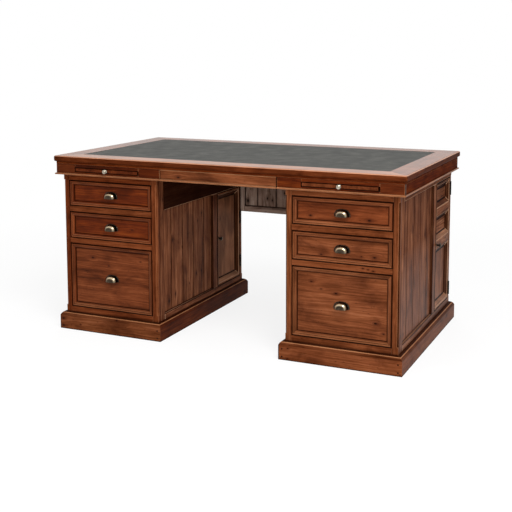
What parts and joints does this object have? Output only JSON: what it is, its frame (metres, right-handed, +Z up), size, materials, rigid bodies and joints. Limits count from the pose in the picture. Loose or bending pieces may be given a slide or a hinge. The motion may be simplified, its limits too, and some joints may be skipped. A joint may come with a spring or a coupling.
{
  "type": "partners desk",
  "caption": "Pedestal partners desk with a leather top, pull-out drawers, writing slides above the pedestals, and cupboard doors in the pedestal sides.",
  "frame": {"origin": "centre of the bounding box at floor level, with the slide knobs counted in", "axes": "+X along the width, -Y towards the drawer front, +Z up"},
  "size_m": [1.6, 0.91, 0.78],
  "materials": {
    "stained_wood": "red-brown stained and waxed, with light distressing",
    "board_wood": "brown stained tongue and groove boards",
    "drawer_wood": "clear lacquered drawer boxes",
    "inner_wood": "plain sanded inner boards",
    "leather": "smooth matt desk leather",
    "pewter": "antiqued pewter",
    "black_iron": "black lacquer"
  },
  "bodies": {
    "desk": {"top_border": "stained_wood", "top_core": "inner_wood", "leather_panel": "leather", "sub_top": "stained_wood", "frieze_front_left": "stained_wood", "frieze_front_right": "stained_wood", "frieze_surround": "stained_wood", "frieze_bead": "stained_wood", "centre_drawer_rails": "inner_wood", "slide_guides": "inner_wood", "modesty_panel": "stained_wood", "left_plinth": "stained_wood", "left_face_frame": "stained_wood", "left_outer_frame": "stained_wood", "left_kneehole_frame": "stained_wood", "left_back_frame": "stained_wood", "left_panel_boards": "board_wood", "left_case_boards": "inner_wood", "left_drawer_runners": "inner_wood", "right_plinth": "stained_wood", "right_face_frame": "stained_wood", "right_outer_frame": "stained_wood", "right_kneehole_frame": "stained_wood", "right_back_frame": "stained_wood", "right_panel_boards": "board_wood", "right_case_boards": "inner_wood", "right_drawer_runners": "inner_wood", "plinth_nails": "black_iron", "hinge_fixed_leaves": "black_iron", "hinge_pins": "black_iron"},
    "left_upper_drawer": {"left_upper_drawer_front": "stained_wood", "left_upper_drawer_box": "drawer_wood", "left_upper_drawer_pull": "pewter"},
    "left_middle_drawer": {"left_middle_drawer_front": "stained_wood", "left_middle_drawer_box": "drawer_wood", "left_middle_drawer_pull": "pewter"},
    "left_file_drawer": {"left_file_drawer_front": "stained_wood", "left_file_drawer_box": "drawer_wood", "left_file_drawer_pull": "pewter"},
    "left_slide": {"left_writing_slide": "stained_wood", "left_slide_knob": "pewter"},
    "left_cupboard_door": {"left_door": "stained_wood", "left_door_knob": "pewter", "left_door_hinge_leaves": "black_iron"},
    "right_upper_drawer": {"right_upper_drawer_front": "stained_wood", "right_upper_drawer_box": "drawer_wood", "right_upper_drawer_pull": "pewter"},
    "right_middle_drawer": {"right_middle_drawer_front": "stained_wood", "right_middle_drawer_box": "drawer_wood", "right_middle_drawer_pull": "pewter"},
    "right_file_drawer": {"right_file_drawer_front": "stained_wood", "right_file_drawer_box": "drawer_wood", "right_file_drawer_pull": "pewter"},
    "right_slide": {"right_writing_slide": "stained_wood", "right_slide_knob": "pewter"},
    "right_cupboard_door": {"right_door": "stained_wood", "right_door_knob": "pewter", "right_door_hinge_leaves": "black_iron"},
    "centre_drawer": {"centre_drawer_front": "stained_wood", "centre_drawer_box": "drawer_wood"}
  },
  "joints": [
    {"name": "left_upper_drawer_slide", "type": "slide", "parent": "desk", "child": "left_upper_drawer", "axis": [0, -1, 0], "range_m": [0, 0.36]},
    {"name": "left_middle_drawer_slide", "type": "slide", "parent": "desk", "child": "left_middle_drawer", "axis": [0, -1, 0], "range_m": [0, 0.36]},
    {"name": "left_file_drawer_slide", "type": "slide", "parent": "desk", "child": "left_file_drawer", "axis": [0, -1, 0], "range_m": [0, 0.36]},
    {"name": "left_writing_slide_pull", "type": "slide", "parent": "desk", "child": "left_slide", "axis": [0, -1, 0], "range_m": [0, 0.3]},
    {"name": "right_upper_drawer_slide", "type": "slide", "parent": "desk", "child": "right_upper_drawer", "axis": [0, -1, 0], "range_m": [0, 0.36]},
    {"name": "right_middle_drawer_slide", "type": "slide", "parent": "desk", "child": "right_middle_drawer", "axis": [0, -1, 0], "range_m": [0, 0.36]},
    {"name": "right_file_drawer_slide", "type": "slide", "parent": "desk", "child": "right_file_drawer", "axis": [0, -1, 0], "range_m": [0, 0.36]},
    {"name": "right_writing_slide_pull", "type": "slide", "parent": "desk", "child": "right_slide", "axis": [0, -1, 0], "range_m": [0, 0.3]},
    {"name": "centre_drawer_slide", "type": "slide", "parent": "desk", "child": "centre_drawer", "axis": [0, -1, 0], "range_m": [0, 0.3]},
    {"name": "left_door_swing", "type": "hinge", "parent": "desk", "child": "left_cupboard_door", "pos_m": [-0.2921, 0.394, 0.103], "axis": [0, 0, 1], "range_deg": [0, 90]},
    {"name": "right_door_swing", "type": "hinge", "parent": "desk", "child": "right_cupboard_door", "pos_m": [0.7719, 0.394, 0.103], "axis": [0, 0, 1], "range_deg": [0, 170]}
  ]
}
